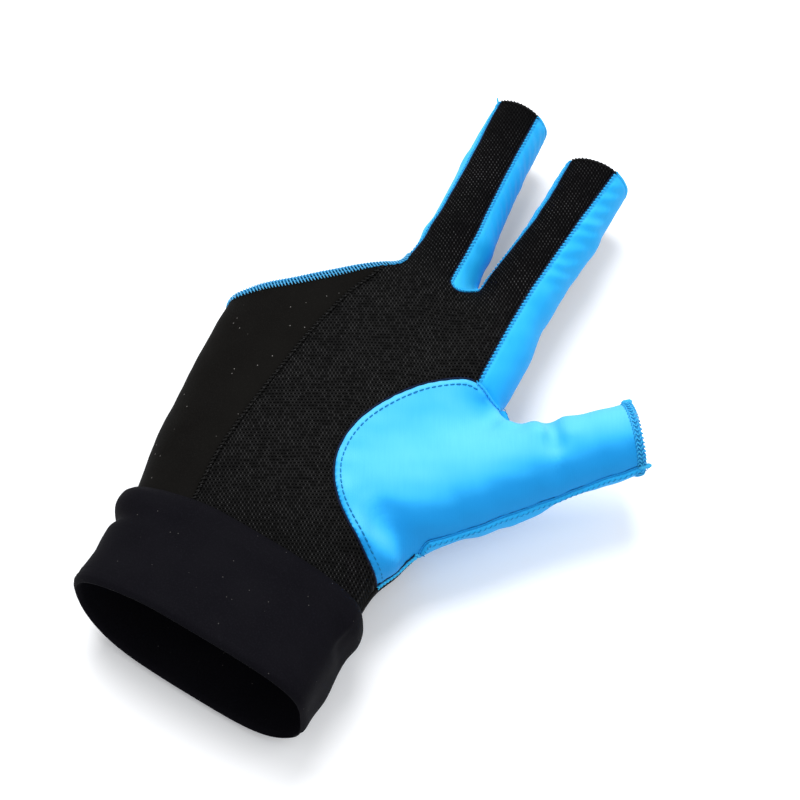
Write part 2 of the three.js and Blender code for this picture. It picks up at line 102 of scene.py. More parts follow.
# Seams in plan
PALM_SEAM = [(-17, 20), (-20.3, 50), (-20.1, 66), (-17.3, 93.4), (-13, 120), (-8, 137), (-8, 165), (-8, 250)]
PATCH_SEAM = [
    (54, 260), (54, 125), (53, 112.5), (49, 110.3), (42.5, 110.3), (36, 112), (30, 110), (23, 103.8),
    (16.8, 95.5), (12, 86), (10.2, 76), (11.7, 66.5), (16.8, 58), (23.4, 52), (30.8, 46.9), (36.8, 43.5),
    (48, 38), (60, 32),
]
THUMB_FAR_SEAM = [(41, 118), (38.5, 110.3), (35.5, 103), (34, 88), (34, 72), (38, 61), (52, 54), (70, 47)]
INDEX_SEAM = [(36, 100), (36, 112), (35.9, 138), (36.5, 152), (38.2, 174), (41.5, 212), (44, 250)]
SIDE_SEAM = {"x": (20, 44, 52, 59, 66, 73, 84, 91), "z": (2.5, 3.0, 3.2, 3.6, 3.6, 4.6, 7.0, 7.5)}
THUMB_TOP = {"x": 53.0, "y": 110.3}
FLAP = {"x": 44.6, "wide": 2.0, "drop": 4.6}
FINGER_FAR = {"y": (110.3, 150, 240), "z": (-7, -7, -10.5)}
WEB = {
    "x": 18.2,
    "blend": 2.0,
    "line": [(12, 141), (13, 140.4), (14.7, 139), (16.6, 139.2), (18.2, 141), (19.4, 144), (20.6, 148)],
}
MIDDLE_SIDE_START = 138.0
INDEX_SIDE_START = 105.0
FAR_EDGE_FROM_X = 15.0

# Seams along the fingers: place along the hand, and angle from straight up towards the thumb's side
FINGER_SEAMS = {
    "middle_inner": [(139.8, 26), (152, 29), (186, 31), (200, 34), (230, 40)],
    "middle_outer": [(138, -68), (146, -60), (155, -50), (165, -46), (190, -43), (205, -49), (230, -56)],
    "index_inner": [
        (138, -62), (145, -67), (153, -70), (158, -60), (163, -53), (180, -45), (190, -47), (230, -64),
    ],
}

# Cut ends: middle, direction in degrees from +Y towards +X, and the side of a place in X that is cut
ENDS = {
    "middle_end": {"x": 3.5, "y": 213.8, "turn": 4, "side": -1, "from_x": 18},
    "index_end": {"x": 35.7, "y": 202.4, "turn": -2, "side": 1, "from_x": 20},
    "thumb_end": {"x": 85.1, "y": 117.6, "turn": 51, "side": 1, "from_x": 66},
}

# Open edge for the ring and little fingers, and how far past it the cloth goes
OPENING = [
    (-90, 79.4), (-48, 107.5), (-38, 114.5), (-27.6, 121.3), (-7.3, 138), (-3.6, 143.5), (-5.4, 149),
    (-12, 156), (-12, 260),
]
OPENING_OUT = 0.6

# Folds of the cloth that are too fine for the form
CLOTH_WAVES = [{"height": 0.07, "seed": 3, "scale": 26.0}, {"height": 0.04, "seed": 5, "scale": 9.0}]
TURNED_EDGE = {"depth": 0.45, "wide": 0.7}
GATHERS = {"height": 0.12, "fade": 2.5, "seed": 8, "scale": 3.6}
INDEX_CREASES = {"height": 0.2, "pitch": 5.6, "slant": 0.9, "from_y": 148, "to_y": 204, "near_angle": 84}
WEB_CREASES = {"height": 0.1, "pitch": 4.6, "slant": -0.8, "from_y": 160}


def smooth_step(t):
    t = np.clip(t, 0, 1)
    return t * t * (3 - 2 * t)


def smooth_min(a, b, reach):
    h = np.maximum(reach - np.abs(a - b), 0) / reach
    return np.minimum(a, b) - h * h * reach / 4


def palm_at(y):
    """The palm's section at a place along the hand: x, z, half width, half thickness, left, right."""
    row = np.clip(np.searchsorted(PALM[:, 0], y, side="left") - 1, 0, len(PALM) - 2)
    low, high = PALM[row], PALM[row + 1]
    t = np.clip((y - low[..., 0]) / (high[..., 0] - low[..., 0]), 0, 1)
    eased = (t + smooth_step(t)) / 2
    return np.moveaxis(low[..., 1:] + (high[..., 1:] - low[..., 1:]) * eased[..., None], -1, 0)


def palm_field(x, y, z):
    middle_x, middle_z, wide, thick, left, right = palm_at(y)
    square = np.where(x < middle_x, left, right)
    u = np.abs(x - middle_x) / wide
    w = np.abs(z - middle_z) / thick
    size = np.maximum((u ** square + w ** square) ** (1 / square), 1e-6)
    slope = np.hypot((u / size) ** (square - 1) / wide, (w / size) ** (square - 1) / thick)
    side = (size - 1) / np.maximum(slope, 1 / wide)
    end = y - PALM_END["y"] + PALM_END["slant"] * (x - PALM_END["x"])
    return np.maximum(-smooth_min(-side, -end, BLEND["palm_end"]), PALM_START - y)


def along_line(x, y, z, a, b):
    """Distance to the line between two points, and the share of the way along it."""
    d = np.subtract(b, a)
    share = np.clip(((x - a[0]) * d[0] + (y - a[1]) * d[1] + (z - a[2]) * d[2]) / (d @ d), 0, 1)
    gaps = [(place - start - way * share) ** 2 for place, start, way in zip((x, y, z), a, d)]
    return np.sqrt(gaps[0] + gaps[1] + gaps[2]), share


def sleeve_field(name, x, y, z):
    nearest = 1000.0
    rows = SLEEVES[name]
    for low, high in zip(rows, rows[1:]):
        away, share = along_line(x, y, z, low[:3], high[:3])
        nearest = smooth_min(nearest, away - (low[3] + (high[3] - low[3]) * share), BLEND["joint"])
    return nearest


def fold_height(x, y, z):
    height = 0.0
    for start, end, wide, high in FOLDS:
        away, _ = along_line(x, y, z, start, end)
        height = height + high * np.exp(-((away / wide) ** 2))
    return height


def glove_field(x, y, z):
    """Distance to the glove's outer face, below zero inside."""
    fingers = smooth_min(sleeve_field("middle", x, y, z), sleeve_field("index", x, y, z), BLEND["web"])
    hand = smooth_min(palm_field(x, y, z), fingers, BLEND["finger"])
    return smooth_min(hand, sleeve_field("thumb", x, y, z), BLEND["thumb"]) - fold_height(x, y, z)


def field_at(points):
    return glove_field(points[:, 0], points[:, 1], points[:, 2])


def unit(vectors):
    return vectors / np.maximum(np.linalg.norm(vectors, axis=-1, keepdims=True), 1e-9)


def normals_at(points):
    step = 0.1
    slope = [field_at(points + step * axis) - field_at(points - step * axis) for axis in np.eye(3)]
    return unit(np.stack(slope, 1))


def surface_net(lows, highs):
    """Closed surface of the glove as points and quads, one vertex in each grid cell that it crosses."""
    axes = [np.arange(low, high, GRID) for low, high in zip(lows, highs)]
    x, y, z = np.meshgrid(*axes, indexing="ij", sparse=True)
    values = glove_field(x, y, z)
    inside = values < 0
    corners = [(a, b, c) for a in (0, 1) for b in (0, 1) for c in (0, 1)]
    shape = [n - 1 for n in values.shape]
    count = np.zeros(shape, np.int8)
    for a, b, c in corners:
        count += inside[a:a + shape[0], b:b + shape[1], c:c + shape[2]]
    cells = np.argwhere((count > 0) & (count < 8))
    step = np.eye(3, dtype=int)
    total = np.zeros((len(cells), 3))
    crossings = np.zeros(len(cells))
    for a in corners:
        for axis in range(3):
            if a[axis]:
                continue
            va = values[tuple((cells + a).T)]
            vb = values[tuple((cells + a + step[axis]).T)]
            crossed = (va < 0) != (vb < 0)
            share = np.where(crossed, va / np.where(crossed, va - vb, 1), 0)
            total += (np.array(a) + share[:, None] * step[axis]) * crossed[:, None]
            crossings += crossed
    points = (cells + total / crossings[:, None]) * GRID + np.array(lows)
    number = np.full(shape, -1)
    number[tuple(cells.T)] = np.arange(len(cells))
    quads = []
    for axis in range(3):
        last = values.shape - step[axis]
        here = inside[: last[0], : last[1], : last[2]]
        there = inside[step[axis][0]:, step[axis][1]:, step[axis][2]:]
        edges = np.argwhere(here != there)
        s, t = step[(axis + 1) % 3], step[(axis + 2) % 3]
        quad = np.stack([number[tuple((edges - d).T)] for d in (s + t, t, 0 * s, s)], 1)
        outward = inside[tuple(edges.T)]
        quad[~outward] = quad[~outward][:, ::-1]
        quads.append(quad)
    return points, np.concatenate(quads)


def onto_surface(points):
    """Moves points along the field's slope until they lie on the outer face."""
    for _ in range(3):
        points = points - normals_at(points) * np.clip(field_at(points), -0.5, 0.5)[:, None]
    return points


def spline(points, pitch):
    """A smooth line through the points, with points about a pitch apart."""
    points = np.array(points, float)
    padded = np.concatenate([2 * points[:1] - points[1:2], points, 2 * points[-1:] - points[-2:-1]])
    pieces = []
    for i in range(1, len(padded) - 2):
        a, b, c, d = padded[i - 1:i + 3]
        steps = max(int(np.linalg.norm(c - b) / pitch), 1)
        t = np.arange(steps)[:, None] / steps
        pieces.append(0.5 * (2 * b + (c - a) * t + (2 * a - 5 * b + 4 * c - d) * t ** 2
                             + (3 * b - 3 * c + d - a) * t ** 3))
    return np.concatenate(pieces + [points[-1:]])


def side_of(line, points):
    """Signed distance in plan from a smooth line, above zero on the right of its direction."""
    line = spline(line, 1.0)
    nearest = np.full(len(points), 1e9)
    signed = np.zeros(len(points))
    for a, b in zip(line, line[1:]):
        d = b - a
        share = np.clip(((points[:, :2] - a) @ d) / (d @ d), 0, 1)
        gap = points[:, :2] - a - share[:, None] * d
        away = np.hypot(gap[:, 0], gap[:, 1])
        side = (points[:, 0] - a[0]) * d[1] - (points[:, 1] - a[1]) * d[0]
        closer = away < nearest
        nearest[closer] = away[closer]
        signed[closer] = np.where(side > 0, away, -away)[closer]
    return signed


def sleeve_axis(name, y):
    """The straight line from the first to the last row of a sleeve: x and z at a place along the hand."""
    start, end = np.array(SLEEVES[name][0]), np.array(SLEEVES[name][-1])
    share = (y - start[1]) / (end[1] - start[1])
    return start[0] + (end[0] - start[0]) * share, start[2] + (end[2] - start[2]) * share


def sleeve_angle(name, points):
    """Angle round a finger's axis, degrees from straight up towards the thumb's side."""
    x, z = sleeve_axis(name, points[:, 1])
    return np.degrees(np.arctan2(points[:, 0] - x, points[:, 2] - z))


def beyond_seam(seam, points, side):
    """Distance past a seam along a finger: side 1 counts towards the thumb, -1 away from it."""
    x, z = sleeve_axis(seam.split("_")[0], points[:, 1])
    places, angles = zip(*FINGER_SEAMS[seam])
    turn = np.radians(np.interp(points[:, 1], places, angles))
    across = side * ((points[:, 0] - x) * np.cos(turn) - (points[:, 2] - z) * np.sin(turn))
    return np.minimum(across, side * (points[:, 0] - x))


def cut_fields(points):
    """How far each point is inside of each cut edge."""
    fields = {"cuff": points[:, 1] - SHELL_START}
    fields["opening"] = side_of(OPENING, points) + OPENING_OUT
    for name, end in ENDS.items():
        turn = math.radians(end["turn"])
        away = (points[:, 0] - end["x"]) * math.sin(turn) + (points[:, 1] - end["y"]) * math.cos(turn)
        beside = end["side"] * (points[:, 0] - end["from_x"])
        fields[name] = np.maximum(-away, -beside)
    return fields


def panel_fields(points):
    """How far each point is inside of each panel's outline."""
    x, y, z = points.T
    left = -side_of(PALM_SEAM, points)
    patch = -side_of(PATCH_SEAM, points)
    thumb_top = np.maximum(THUMB_TOP["y"] - y, x - THUMB_TOP["x"])
    thumb_far = np.minimum(-side_of(THUMB_FAR_SEAM, points), thumb_top)
    index_right = side_of(INDEX_SEAM, points)
    above_far = z - np.interp(y, FINGER_FAR["y"], FINGER_FAR["z"])
    drop = FLAP["drop"] * smooth_step((FLAP["x"] - x) / FLAP["wide"])
    side_seam = np.interp(x, SIDE_SEAM["x"], SIDE_SEAM["z"]) - drop
    fields = {"thumb_patch": np.minimum(patch, z - side_seam)}
    fields["thumb_back"] = np.minimum(thumb_far, side_seam - z)
    thumb = np.maximum(fields["thumb_patch"], fields["thumb_back"])
    right = np.where(z > 0, index_right, x - sleeve_axis("index", y)[0])
    fields["index_outer_side"] = np.minimum.reduce([right, above_far, y - INDEX_SIDE_START, -thumb])
    share = smooth_step((x - WEB["x"]) / WEB["blend"] + 0.5)
    middle_inner = beyond_seam("middle_inner", points, 1)
    index_inner = beyond_seam("index_inner", points, -1)
    inner = middle_inner * (1 - share) + index_inner * share
    web_start = np.interp(x, *zip(*WEB["line"]))
    fields["finger_web_side"] = np.minimum.reduce([inner, above_far, y - web_start])
    outer_middle = beyond_seam("middle_outer", points, -1)
    fields["middle_outer_side"] = np.minimum.reduce([outer_middle, above_far, y - MIDDLE_SIDE_START])
    blue = np.maximum.reduce(list(fields.values()))
    low = np.minimum(side_seam - z, THUMB_TOP["y"] - y)
    far = np.maximum.reduce([left, np.where(x > FAR_EDGE_FROM_X, low, -z), -above_far])
    fields["stretch_wrap"] = np.minimum(far, -blue)
    fields["mesh_panel"] = np.minimum(-far, -blue)
    return fields


def clip(points, faces, values):
    """The part of a triangle mesh where the values are above zero, cut cleanly along the line of zero."""
    keep = values > 0
    number = keep[faces].sum(1)
    whole = faces[number == 3]
    cut = faces[(number == 1) | (number == 2)]
    if not len(cut):
        return compact(points, whole)
    edges = np.sort(np.stack([cut, np.roll(cut, -1, 1)], 2).reshape(-1, 2), 1)
    edges = edges[keep[edges[:, 0]] != keep[edges[:, 1]]]
    crossing = np.unique(edges, axis=0)
    share = values[crossing[:, 0]] / (values[crossing[:, 0]] - values[crossing[:, 1]])
    added = points[crossing[:, 0]] + share[:, None] * (points[crossing[:, 1]] - points[crossing[:, 0]])
    key = crossing[:, 0] * len(points) + crossing[:, 1]

    def middle(a, b):
        return len(points) + np.searchsorted(key, np.minimum(a, b) * len(points) + np.maximum(a, b))

    pieces = [whole]
    for turn in range(3):
        a, b, c = np.roll(cut, -turn, 1).T
        one = keep[a] & ~keep[b] & ~keep[c]
        pieces.append(np.stack([a, middle(a, b), middle(c, a)], 1)[one])
        two = keep[a] & keep[b] & ~keep[c]
        pieces.append(np.stack([a, b, middle(b, c)], 1)[two])
        pieces.append(np.stack([a, middle(b, c), middle(c, a)], 1)[two])
    return compact(np.concatenate([points, added]), np.concatenate(pieces))


def compact(points, faces):
    used, faces = np.unique(faces, return_inverse=True)
    return points[used], faces.reshape(-1, 3)


def open_edges(faces):
    """Directed edges that only one triangle has."""
    edges = np.concatenate([faces[:, [0, 1]], faces[:, [1, 2]], faces[:, [2, 0]]])
    size = faces.max() + 1
    key = edges[:, 0] * size + edges[:, 1]
    back = edges[:, 1] * size + edges[:, 0]
    return edges[~np.isin(key, back)]


def thick_shell(points, faces, normals, thickness):
    """A closed wall: the outer face, the inner face and the rim."""
    count = len(points)
    a, b = open_edges(faces).T
    rim = np.concatenate([np.stack([b, a, a + count], 1), np.stack([b, a + count, b + count], 1)])
    inner = points - normals * thickness
    return np.concatenate([points, inner]), np.concatenate([faces, faces[:, ::-1] + count, rim])


def new_object(name, points, faces, material, uv=None):
    """A smooth mesh object from millimetre points and faces that all have the same number of corners."""
    mesh = bpy.data.meshes.new(name)
    count, corners = faces.shape
    mesh.vertices.add(len(points))
    mesh.vertices.foreach_set("co", (np.asarray(points) * MM).astype(np.float32).ravel())
    mesh.loops.add(count * corners)
    mesh.loops.foreach_set("vertex_index", faces.astype(np.int32).ravel())
    mesh.polygons.add(count)
    mesh.polygons.foreach_set("loop_start", np.arange(0, count * corners, corners, dtype=np.int32))
    mesh.update(calc_edges=True)
    mesh.validate()
    mesh.polygons.foreach_set("use_smooth", np.ones(len(mesh.polygons), dtype=bool))
    if uv is not None:
        layer = mesh.uv_layers.new(name="weave")
        layer.data.foreach_set("uv", uv[faces.ravel()].astype(np.float32).ravel())
    mesh.materials.append(material)
    return linked(name, mesh)


def linked(name, data):
    item = bpy.data.objects.new(name, data)
    bpy.context.collection.objects.link(item)
    return item


def hand_in(item, slot, *nodes):
    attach(item, "root")
    if nodes:
        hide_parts(*nodes)


def ripple(points, seed, scale, count=6):
    """Soft noise between about -1 and 1, the same each run."""
    rng = np.random.default_rng(seed)
    total = np.zeros(len(points))
    for _ in range(count):
        direction = rng.normal(size=3)
        direction *= rng.uniform(0.6, 1.5) / np.linalg.norm(direction) / scale
        total += np.sin(points @ direction * 2 * math.pi + rng.uniform(0, 2 * math.pi))
    return total / math.sqrt(count)


class Fabric:
    """A material with short calls for its nodes."""

    def __init__(self, name, roughness, sheen=0.0, specular=0.3):
        self.material = bpy.data.materials.new(name)
        self.material.use_nodes = True
        self.tree = self.material.node_tree
        self.shader = self.tree.nodes["Principled BSDF"]
        self.shader.inputs["Roughness"].default_value = roughness
        self.shader.inputs["Sheen Weight"].default_value = sheen
        self.shader.inputs["Sheen Roughness"].default_value = 0.4
        self.shader.inputs["Specular IOR Level"].default_value = specular

    def add(self, kind, inputs, **settings):
        node = self.tree.nodes.new(kind)
        for key, value in settings.items():
            setattr(node, key, value)
        for key, value in inputs.items():
            if isinstance(value, bpy.types.NodeSocket):
                self.tree.links.new(value, node.inputs[key])
            else:
                node.inputs[key].default_value = value
        return node

    def math(self, operation, a, b=0.0):
        return self.add("ShaderNodeMath", {0: a, 1: b}, operation=operation).outputs[0]

    def times(self, first, *others):
        for other in others:
            first = self.math("MULTIPLY", first, other)
        return first

    def length(self, a, b):
        return self.math("SQRT", self.math("ADD", self.math("POWER", a, 2.0), self.math("POWER", b, 2.0)))

    def ramp(self, value, low, high, to_low=0.0, to_high=1.0):
        inputs = {"Value": value, "From Min": low, "From Max": high, "To Min": to_low, "To Max": to_high}
        return self.add("ShaderNodeMapRange", inputs, interpolation_type="SMOOTHSTEP").outputs["Result"]

    def mix(self, share, a, b):
        a, b = (value if isinstance(value, bpy.types.NodeSocket) else (*value, 1.0) for value in (a, b))
        return self.add("ShaderNodeMix", {0: share, 6: a, 7: b}, data_type="RGBA").outputs[2]

    def place(self):
        """Place on the object, in metres."""
        return self.add("ShaderNodeTexCoord", {}).outputs["Object"]

    def noise(self, size, detail=2.0):
        """Noise whose blotches are about the size given, in millimetres."""
        inputs = {"Vector": self.place(), "Scale": 1.0 / (size * MM), "Detail": detail}
        return self.add("ShaderNodeTexNoise", inputs).outputs["Fac"]

    def facing(self, direction):
        """1 where the cloth faces a direction, 0 where it is turned a quarter away."""
        normal = self.add("ShaderNodeNewGeometry", {}).outputs["Normal"]
        inputs = {0: normal, 1: direction}
        return self.add("ShaderNodeVectorMath", inputs, operation="DOT_PRODUCT").outputs["Value"]

    def weave(self):
        """Place in the weave, in millimetres across and along."""
        uv = self.add("ShaderNodeUVMap", {}, uv_map="weave").outputs["UV"]
        return self.add("ShaderNodeSeparateXYZ", {0: uv}).outputs[:2]

    def colour(self, socket):
        self.tree.links.new(socket, self.shader.inputs["Base Color"])

    def bump(self, height, depth, strength):
        """Bump of a depth in millimetres."""
        inputs = {"Height": height, "Distance": depth * MM, "Strength": strength}
        normal = self.add("ShaderNodeBump", inputs).outputs["Normal"]
        self.tree.links.new(normal, self.shader.inputs["Normal"])


def mesh_material():
    """Black air mesh: offset rows of holes, with loops of thread between them whose glints are a painted
    highlight in the colour.
    """
    fabric = Fabric("black_mesh", 0.85, specular=0.02)
    drift = fabric.noise(16.0, 1.0)
    u, v = (fabric.math("DIVIDE", fabric.math("ADD", place, drift), pitch)
            for place, pitch in zip(fabric.weave(), HOLE_PITCH))
    row = fabric.math("FLOOR", v)
    offset = fabric.times(fabric.math("FLOORED_MODULO", row, 2.0), 0.5)
    shifted = fabric.math("ADD", u, offset)
    across = fabric.math("SUBTRACT", fabric.math("FRACT", shifted), 0.5)
    along = fabric.math("SUBTRACT", fabric.math("FRACT", v), 0.5)
    flat = fabric.times(across, HOLE_SHAPE[0])
    tall = fabric.times(along, HOLE_SHAPE[1])
    hole = fabric.ramp(fabric.length(flat, tall), 0.2, 0.4, 1.0, 0.0)
    knot_side = fabric.math("SUBTRACT", 0.5, fabric.math("ABSOLUTE", across))
    knot = fabric.ramp(fabric.length(knot_side, along), 0.05, 0.27, 1.0, 0.0)
    cell = fabric.add("ShaderNodeCombineXYZ", {0: fabric.math("ROUND", shifted), 1: row}).outputs[0]
    chance = fabric.add("ShaderNodeTexWhiteNoise", {"Vector": cell}, noise_dimensions="2D").outputs["Value"]
    patches = fabric.ramp(fabric.noise(11.0, 3.0), 0.36, 0.66, 0.5, 1.0)
    along_hand = fabric.add("ShaderNodeSeparateXYZ", {0: fabric.place()}).outputs[1]
    wrist = fabric.ramp(along_hand, *MESH_ZONES["wrist"], 0.35, 1.0)
    stretched = fabric.ramp(along_hand, *MESH_ZONES["stretched"])
    tip = fabric.ramp(along_hand, *MESH_ZONES["tip"], 1.0, 0.35)
    uneven = fabric.math("ADD", 0.15, fabric.times(chance, 0.85))
    # Painted highlight: pale glints on the thread knots, uneven at random, stronger on the stretched finger
    # mesh and fainter towards the tips
    knot_glint = fabric.times(knot, uneven, patches, fabric.ramp(stretched, 0.0, 1.0, 0.6, 1.0), tip)
    tone = fabric.math("ADD", fabric.times(chance, 0.45), 0.12)
    palm = fabric.mix(fabric.times(tone, wrist), MESH_COLOURS["deep"], MESH_COLOURS["cloth"])
    cloth = fabric.mix(stretched, palm, MESH_COLOURS["finger"])
    cloth = fabric.mix(knot_glint, cloth, MESH_COLOURS["loop"])
    fabric.colour(fabric.mix(hole, cloth, MESH_COLOURS["hole"]))
    relief = fabric.math("SUBTRACT", fabric.times(knot, 0.5), hole)
    fabric.bump(relief, 0.1, 0.7)
    return fabric.material


def black_material(name, deep, light, roughness, speck):
    """Smooth black knit with faint blotches, fine grain and a few specks of lint."""
    fabric = Fabric(name, roughness, specular=0.025)
    colour = fabric.mix(fabric.ramp(fabric.noise(14.0, 4.0), 0.3, 0.7), deep, light)
    grain = fabric.noise(0.45)
    colour = fabric.mix(fabric.ramp(grain, 0.45, 0.75, 0.0, 0.5), colour, [c * 1.6 for c in light])
    cells = fabric.add("ShaderNodeTexVoronoi", {"Vector": fabric.place(), "Scale": 1 / (LINT["cell"] * MM)})
    lint = fabric.ramp(cells.outputs["Distance"], *LINT["spot"], speck, 0.0)
    fabric.colour(fabric.mix(lint, colour, LINT["colour"]))
    fabric.bump(fabric.math("ADD", grain, fabric.times(fabric.noise(2.2), 0.8)), 0.07, 0.7)
    return fabric.material


def blue_material(name, shade, deep, light):
    """Blue stretch knit: fine ribs and soft blotches, with painted light and painted shade: lighter where the
    cloth faces LIT_SIDE, deeper where it turns away from it.
    """
    fabric = Fabric(name, 0.65, sheen=0.04, specular=0.15)
    u, v = fabric.weave()
    rib = fabric.math("SINE", fabric.times(u, 2 * math.pi / RIB_PITCH))
    drift = fabric.ramp(fabric.noise(14.0), 0.3, 0.7, 0.0, 0.07)
    # Painted light and shade: the colour runs from the shade tone through the deep tone to the light tone as
    # the cloth turns towards LIT_SIDE
    facing_light = fabric.math("SUBTRACT", fabric.facing(LIT_SIDE), drift)
    colour = fabric.mix(fabric.ramp(facing_light, 0.13, 0.95), deep, light)
    colour = fabric.mix(fabric.ramp(facing_light, -0.12, 0.34), shade, colour)
    stretched = {0: fabric.times(u, 1.6), 1: fabric.times(v, 0.12)}
    streak_place = fabric.add("ShaderNodeCombineXYZ", stretched).outputs[0]
    inputs = {"Vector": streak_place, "Scale": 1.0, "Detail": 2.0}
    streak = fabric.add("ShaderNodeTexNoise", inputs).outputs["Fac"]
    fabric.colour(fabric.mix(fabric.ramp(streak, 0.35, 0.75, 0.0, 0.06), colour, shade))
    relief = fabric.math("ADD", fabric.times(rib, 0.3), streak)
    relief = fabric.math("ADD", relief, fabric.times(fabric.noise(0.5), 0.5))
    fabric.bump(relief, 0.05, 0.5)
    return fabric.material


def thread_material(name, colour):
    """Twisted sewing thread, a little uneven in tone."""
    fabric = Fabric(name, 0.6, specular=0.1)
    twist = fabric.noise(0.5)
    fabric.colour(fabric.mix(twist, [c * 0.7 for c in colour], [min(c * 1.25, 1.0) for c in colour]))
    fabric.bump(twist, 0.05, 0.5)
    return fabric.material


HOLE_PITCH = (1.08, 1.02)
HOLE_SHAPE = (0.68, 1.35)
MESH_ZONES = {"wrist": (0.034, 0.062), "stretched": (0.122, 0.156), "tip": (0.185, 0.212)}
LINT = {"cell": 3.4, "spot": (0.03, 0.06), "colour": (0.24, 0.23, 0.22)}
# Direction of the light that is painted into the blue cloth's colour as light and shade
LIT_SIDE = (-0.30, 0.77, 0.56)
RIB_PITCH = 0.62
MESH_COLOURS = {
    "deep": (0.0035, 0.0035, 0.0035),
    "cloth": (0.0145, 0.0145, 0.0148),
    "finger": (0.003, 0.003, 0.0033),
    # loop: colour of the painted highlight on the thread knots
    "loop": (0.13, 0.13, 0.133),
    "hole": (0.0004, 0.0004, 0.0005),
}
MATERIALS = {
    "mesh": mesh_material(),
    "wrap": black_material("black_stretch", (0.0034, 0.0031, 0.0028), (0.0044, 0.0041, 0.0037), 0.7, 0.8),
    "cuff": black_material("black_cuff", (0.0034, 0.0032, 0.0049), (0.0044, 0.0042, 0.0060), 0.75, 0.25),
    # Blue tones in order: painted shade, half shade, painted light. Patch and strips are one cloth, and the
    # strips' tones are set apart for how the light falls on their sides
    "patch": blue_material("blue_patch", (0.005, 0.25, 0.63), (0.022, 0.39, 0.83), (0.105, 0.53, 0.90)),
    "strip": blue_material("blue_strip", (0.007, 0.335, 0.74), (0.016, 0.40, 0.82), (0.045, 0.48, 0.88)),
}
THREADS = {
    "blue_thread": (0.085, 0.38, 0.66),
    "deep_blue_thread": (0.008, 0.19, 0.43),
    # Navy is real thread in the flap's line, and painted seam shadow in the sunk cords along the patch's rim
    # and the strips' edges
    "navy_thread_and_seam_shadow": (0.003, 0.008, 0.03),
    "black_thread": (0.004, 0.004, 0.004),
    "grey_thread": (0.05, 0.05, 0.052),
    "patch_rim_cloth": (0.04, 0.50, 0.88),
    "strip_thread": (0.03, 0.42, 0.86),
    "blue_rib_cloth": (0.014, 0.34, 0.74),
    "rib_line_thread": (0.012, 0.30, 0.72),
    "rib_tick_thread": (0.008, 0.19, 0.46),
    "hem_thread": (0.012, 0.22, 0.5),
    "hem_loop_thread": (0.04, 0.40, 0.74),
}
MATERIALS.update({name: thread_material(name, colour) for name, colour in THREADS.items()})

PANEL_LOOKS = {
    "mesh_panel": ("mesh", "black_mesh"),
    "stretch_wrap": ("wrap", "black_stretch"),
    "middle_outer_side": ("strip", "blue_stretch"),
    "finger_web_side": ("strip", "blue_stretch"),
    "index_outer_side": ("strip", "blue_stretch"),
    "thumb_patch": ("patch", "blue_stretch"),
    "thumb_back": ("strip", "blue_stretch"),
}
GRAIN_TURN = math.radians(26.6)
GRAIN_ROUND = {"radius": 10.0, "from_y": 140, "to_y": 160, "between_x": 19}


def round_sleeves(points):
    """How much further across the weave goes where the mesh bends round the fingers."""
    spread = []
    for sleeve in ("middle", "index"):
        angle = np.radians(sleeve_angle(sleeve, points))
        spread.append(GRAIN_ROUND["radius"] * (angle - np.sin(angle)))
    start, end = GRAIN_ROUND["from_y"], GRAIN_ROUND["to_y"]
    share = smooth_step((points[:, 1] - start) / (end - start))
    return np.where(points[:, 0] < GRAIN_ROUND["between_x"], *spread) * share


def weave_place(name, points):
    """Across and along places in a panel's weave, in millimetres."""
    x, y, _ = points.T
    if name in ("thumb_patch", "thumb_back", "mesh_panel"):
        if name == "mesh_panel":
            x = x + round_sleeves(points)
        c, s = math.cos(GRAIN_TURN), math.sin(GRAIN_TURN)
        return np.stack([c * x + s * y, c * y - s * x], 1)
    sleeve = np.where(x < WEB["x"], sleeve_angle("middle", points), sleeve_angle("index", points))
    return np.stack([np.radians(sleeve) * GRAIN_ROUND["radius"], y], 1)


def edge_loops(faces):
    """Closed loops of point numbers round a panel's edges."""
    onward = dict(open_edges(faces).tolist())
    loops = []
    while onward:
        start, here = onward.popitem()
        loop = [start]
        while here != start and here in onward:
            loop.append(here)
            here = onward.pop(here)
        loops.append(np.array(loop))
    return sorted(loops, key=len, reverse=True)


class Panel:
    """One cloth panel: its part of the glove's surface and what each stretch of its edge meets."""

    def __init__(self, name, points, faces, values):
        self.name = name
        self.points, self.faces = clip(points, faces, values)
        self.normals = normals_at(self.points)
        self.inside = np.maximum(panel_fields(self.points)[name], 0)
        self.margins = cut_fields(self.points)
        self.runs = self.edge_runs()

    def edge_runs(self):
        """Stretches of the edge by what they meet, as {label: [points, ...]} with the longest first."""
        others = panel_fields(self.points)
        others.pop(self.name)
        others.update(self.margins)
        labels = list(others)
        nearest = np.argmin(np.abs(np.stack(list(others.values()))), 0)
        runs = {}
        for loop in edge_loops(self.faces):
            kinds = nearest[loop]
            starts = np.flatnonzero(kinds != np.roll(kinds, 1))
            starts = starts if len(starts) else np.array([0])
            for a, b in zip(starts, np.append(starts[1:], starts[0] + len(loop))):
                stretch = loop[np.arange(a, b + 1) % len(loop)]
                if len(stretch) > SEWN_RUN:
                    runs.setdefault(labels[kinds[a]], []).append(self.points[stretch])
        return {label: sorted(found, key=len, reverse=True) for label, found in runs.items()}

    def build(self):
        look, slot = PANEL_LOOKS[self.name]
        margin = np.minimum.reduce([self.inside, *self.margins.values()])
        lift = cloth_lift(self.name, self.points, self.inside, margin)
        outer = self.points + self.normals * lift[:, None]
        shell, faces = thick_shell(outer, self.faces, self.normals, CLOTH)
        uv = weave_place(self.name, self.points)
        item = new_object(self.name + "_cloth", shell, faces, MATERIALS[look], np.concatenate([uv, uv]))
        hand_in(item, slot, self.name)


